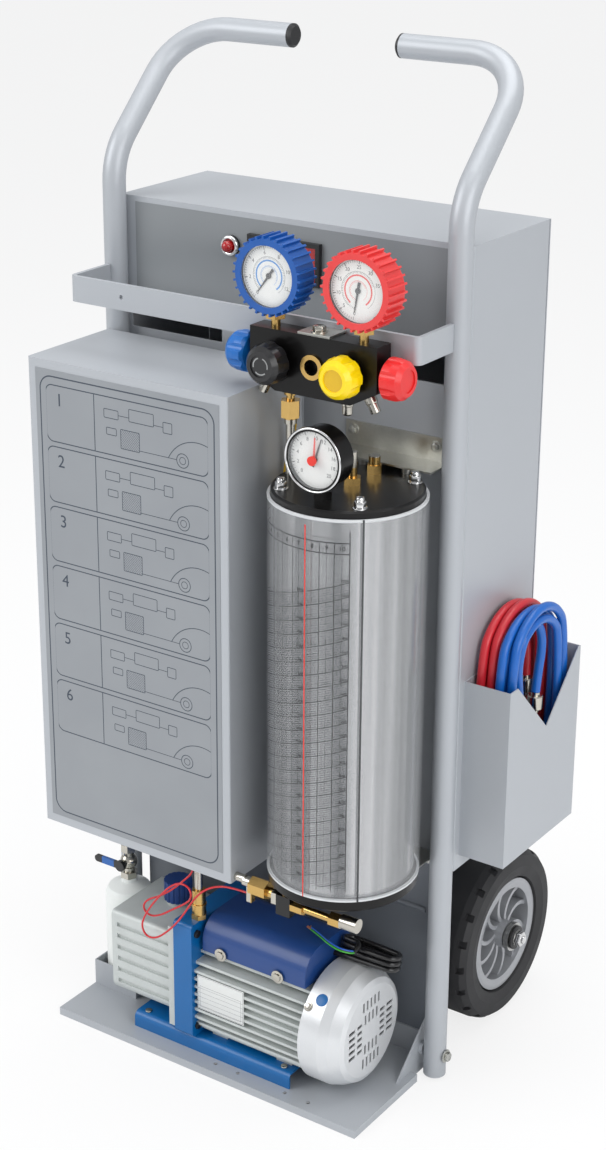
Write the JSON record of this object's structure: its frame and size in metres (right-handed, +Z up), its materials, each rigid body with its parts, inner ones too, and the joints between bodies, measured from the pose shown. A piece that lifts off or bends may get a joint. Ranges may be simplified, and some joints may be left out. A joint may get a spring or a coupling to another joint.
{
  "type": "air conditioning recharge station",
  "caption": "Wheeled tube-frame refrigerant recharge station with control cabinet, gauge manifold, charging cylinder, vacuum pump and hose pocket.",
  "frame": {"origin": "centre of the footprint on the floor, cords left out", "axes": "+Z up, -Y towards the front where the gauges face, +X to the user's right when facing the gauges"},
  "size_m": [0.5394, 0.4544, 1.1964],
  "materials": {
    "grey_paint": "powder coat",
    "panel_film": "printed film",
    "black_plastic": "moulded",
    "red_clear": "clear red",
    "steel_plain": "plain",
    "rim_grey": "silver moulded",
    "tyre_black": "moulded rubber",
    "black_block": "gloss black",
    "zinc": "zinc plated",
    "brass": "machined",
    "blue_plastic": "moulded",
    "yellow_plastic": "moulded",
    "red_plastic": "moulded",
    "blue_rubber": "smooth",
    "red_rubber": "smooth",
    "black_rubber": "smooth",
    "clear": "clear",
    "black_case": "gloss",
    "blue_paint": "gloss enamel",
    "cast_grey": "cast",
    "silver_paint": "silver enamel",
    "white_plastic": "translucent",
    "nickel": "nickel plated",
    "lever_black": "dipped",
    "wire_red": "insulated"
  },
  "bodies": {
    "machine": {"upright_left": "grey_paint", "upright_right": "grey_paint", "base_tray": "grey_paint", "rear_panel": "grey_paint", "gauge_rail": "grey_paint", "cabinet_shell": "grey_paint", "cabinet_back": "grey_paint", "box_shell": "grey_paint", "box_back": "grey_paint", "hose_pocket": "grey_paint", "control_film": "panel_film", "procedure_film": "panel_film", "grip_caps": "black_plastic", "panel_fittings": "black_plastic", "red_lenses": "red_clear", "axle": "steel_plain", "recovery_unit": "steel_plain", "vessel": "steel_plain", "manifold_block": "black_block", "cylinder_flanges": "black_block", "mounting_brackets": "zinc", "block_fittings": "brass", "cylinder_fittings": "brass", "intake_line": "brass", "gauge_cases": "brass", "low_boot": "blue_rubber", "blue_hose": "blue_rubber", "high_boot": "red_rubber", "red_hose": "red_rubber", "mains_coil": "black_rubber", "mains_tail": "black_rubber", "gauge_lenses": "clear", "cylinder_gauge": "black_case", "pump_base": "blue_paint", "pump_flange": "blue_paint", "motor_cover": "blue_paint", "oil_case": "cast_grey", "motor_housing": "cast_grey", "fan_cover": "silver_paint", "oil_bottle": "white_plastic", "bottle_valve": "nickel", "hose_couplings": "nickel", "sensor_wire": "wire_red"},
    "wheel_left": {"wheel_left_rim": "rim_grey", "wheel_left_tyre": "tyre_black"},
    "wheel_right": {"wheel_right_rim": "rim_grey", "wheel_right_tyre": "tyre_black"},
    "knob_blue": {"knob_blue": "blue_plastic"},
    "knob_black": {"knob_black": "black_plastic"},
    "knob_yellow": {"knob_yellow": "yellow_plastic"},
    "knob_red": {"knob_red": "red_plastic"},
    "low_pointer": {"low_pointer": "steel_plain"},
    "high_pointer": {"high_pointer": "steel_plain"},
    "cylinder_pointer": {"cylinder_pointer": "steel_plain"},
    "marker_hand": {"marker_hand": "red_plastic"},
    "scale_shroud": {"scale_shroud": "clear"},
    "valve_lever": {"valve_lever": "lever_black"},
    "rocker_switch": {"rocker_switch": "black_plastic"},
    "oil_cap": {"oil_cap": "blue_plastic"},
    "fan_impeller": {"fan_impeller": "black_plastic"}
  },
  "joints": [
    {"name": "wheel_left_spin", "type": "hinge", "parent": "machine", "child": "wheel_left", "pos_m": [-0.22365, 0.1172, 0.11], "axis": [1, 0, 0], "continuous": true},
    {"name": "wheel_right_spin", "type": "hinge", "parent": "machine", "child": "wheel_right", "pos_m": [0.17035, 0.1172, 0.11], "axis": [1, 0, 0], "continuous": true},
    {"name": "fan_spin", "type": "hinge", "parent": "machine", "child": "fan_impeller", "pos_m": [0.12935, -0.1308, 0.09], "axis": [1, 0, 0], "continuous": true},
    {"name": "scale_turn", "type": "hinge", "parent": "machine", "child": "scale_shroud", "pos_m": [0.12685, -0.1408, 0.52], "axis": [0, 0, 1], "continuous": true},
    {"name": "knob_black_turn", "type": "hinge", "parent": "machine", "child": "knob_black", "pos_m": [0.05045, -0.1648, 0.88715], "axis": [0, -1, 0], "range_deg": [0, 540]},
    {"name": "knob_yellow_turn", "type": "hinge", "parent": "machine", "child": "knob_yellow", "pos_m": [0.14125, -0.1648, 0.88715], "axis": [0, -1, 0], "range_deg": [0, 540]},
    {"name": "knob_blue_turn", "type": "hinge", "parent": "machine", "child": "knob_blue", "pos_m": [0.01665, -0.1518, 0.88715], "axis": [-1, 0, 0], "range_deg": [0, 540]},
    {"name": "knob_red_turn", "type": "hinge", "parent": "machine", "child": "knob_red", "pos_m": [0.17505, -0.1518, 0.88715], "axis": [1, 0, 0], "range_deg": [0, 540]},
    {"name": "low_pointer_turn", "type": "hinge", "parent": "machine", "child": "low_pointer", "pos_m": [0.04085, -0.1638, 0.976], "axis": [0, 1, 0], "range_deg": [0, 260]},
    {"name": "high_pointer_turn", "type": "hinge", "parent": "machine", "child": "high_pointer", "pos_m": [0.15085, -0.1638, 0.976], "axis": [0, 1, 0], "range_deg": [0, 240]},
    {"name": "cylinder_pointer_turn", "type": "hinge", "parent": "machine", "child": "cylinder_pointer", "pos_m": [0.12685, -0.2088, 0.8034], "axis": [0, 1, 0], "range_deg": [-150, 110]},
    {"name": "marker_turn", "type": "hinge", "parent": "machine", "child": "marker_hand", "pos_m": [0.12685, -0.2088, 0.8034], "axis": [0, 1, 0], "range_deg": [-150, 110]},
    {"name": "valve_lever_turn", "type": "hinge", "parent": "machine", "child": "valve_lever", "pos_m": [-0.21265, -0.1193, 0.183], "axis": [0, 1, 0], "range_deg": [0, 90]},
    {"name": "rocker_tilt", "type": "hinge", "parent": "machine", "child": "rocker_switch", "pos_m": [0.08135, -0.03345, 0.958], "axis": [1, 0, 0], "range_deg": [0, 12]},
    {"name": "oil_cap_turn", "type": "hinge", "parent": "machine", "child": "oil_cap", "pos_m": [-0.12765, -0.1188, 0.158], "axis": [0, 0, 1], "range_deg": [0, 360]}
  ]
}
